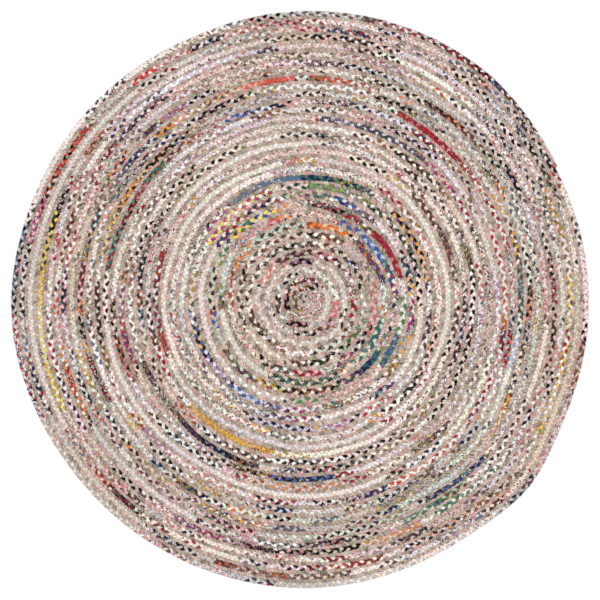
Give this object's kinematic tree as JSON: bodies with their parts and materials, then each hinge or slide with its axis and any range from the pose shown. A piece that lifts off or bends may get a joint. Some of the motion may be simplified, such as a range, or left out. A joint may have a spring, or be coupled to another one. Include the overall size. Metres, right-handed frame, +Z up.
{
  "type": "round braided rug",
  "caption": "flat round rug of one long three-strand plait of cotton rag strips, coiled in a spiral and sewn turn to turn",
  "frame": {"origin": "on the floor under the middle of the outline's box; the coil's own centre is a little to the right of it and below it", "axes": "+Z up; +Y is the picture's up direction and +X its right; the plait's tail ends 28 degrees counterclockwise from +X"},
  "size_m": [1.829, 1.8276, 0.0105],
  "materials": {
    "rag": "matte woven cotton in mixed colours"
  },
  "bodies": {
    "root": {"coiled_braid": "rag"}
  },
  "joints": []
}
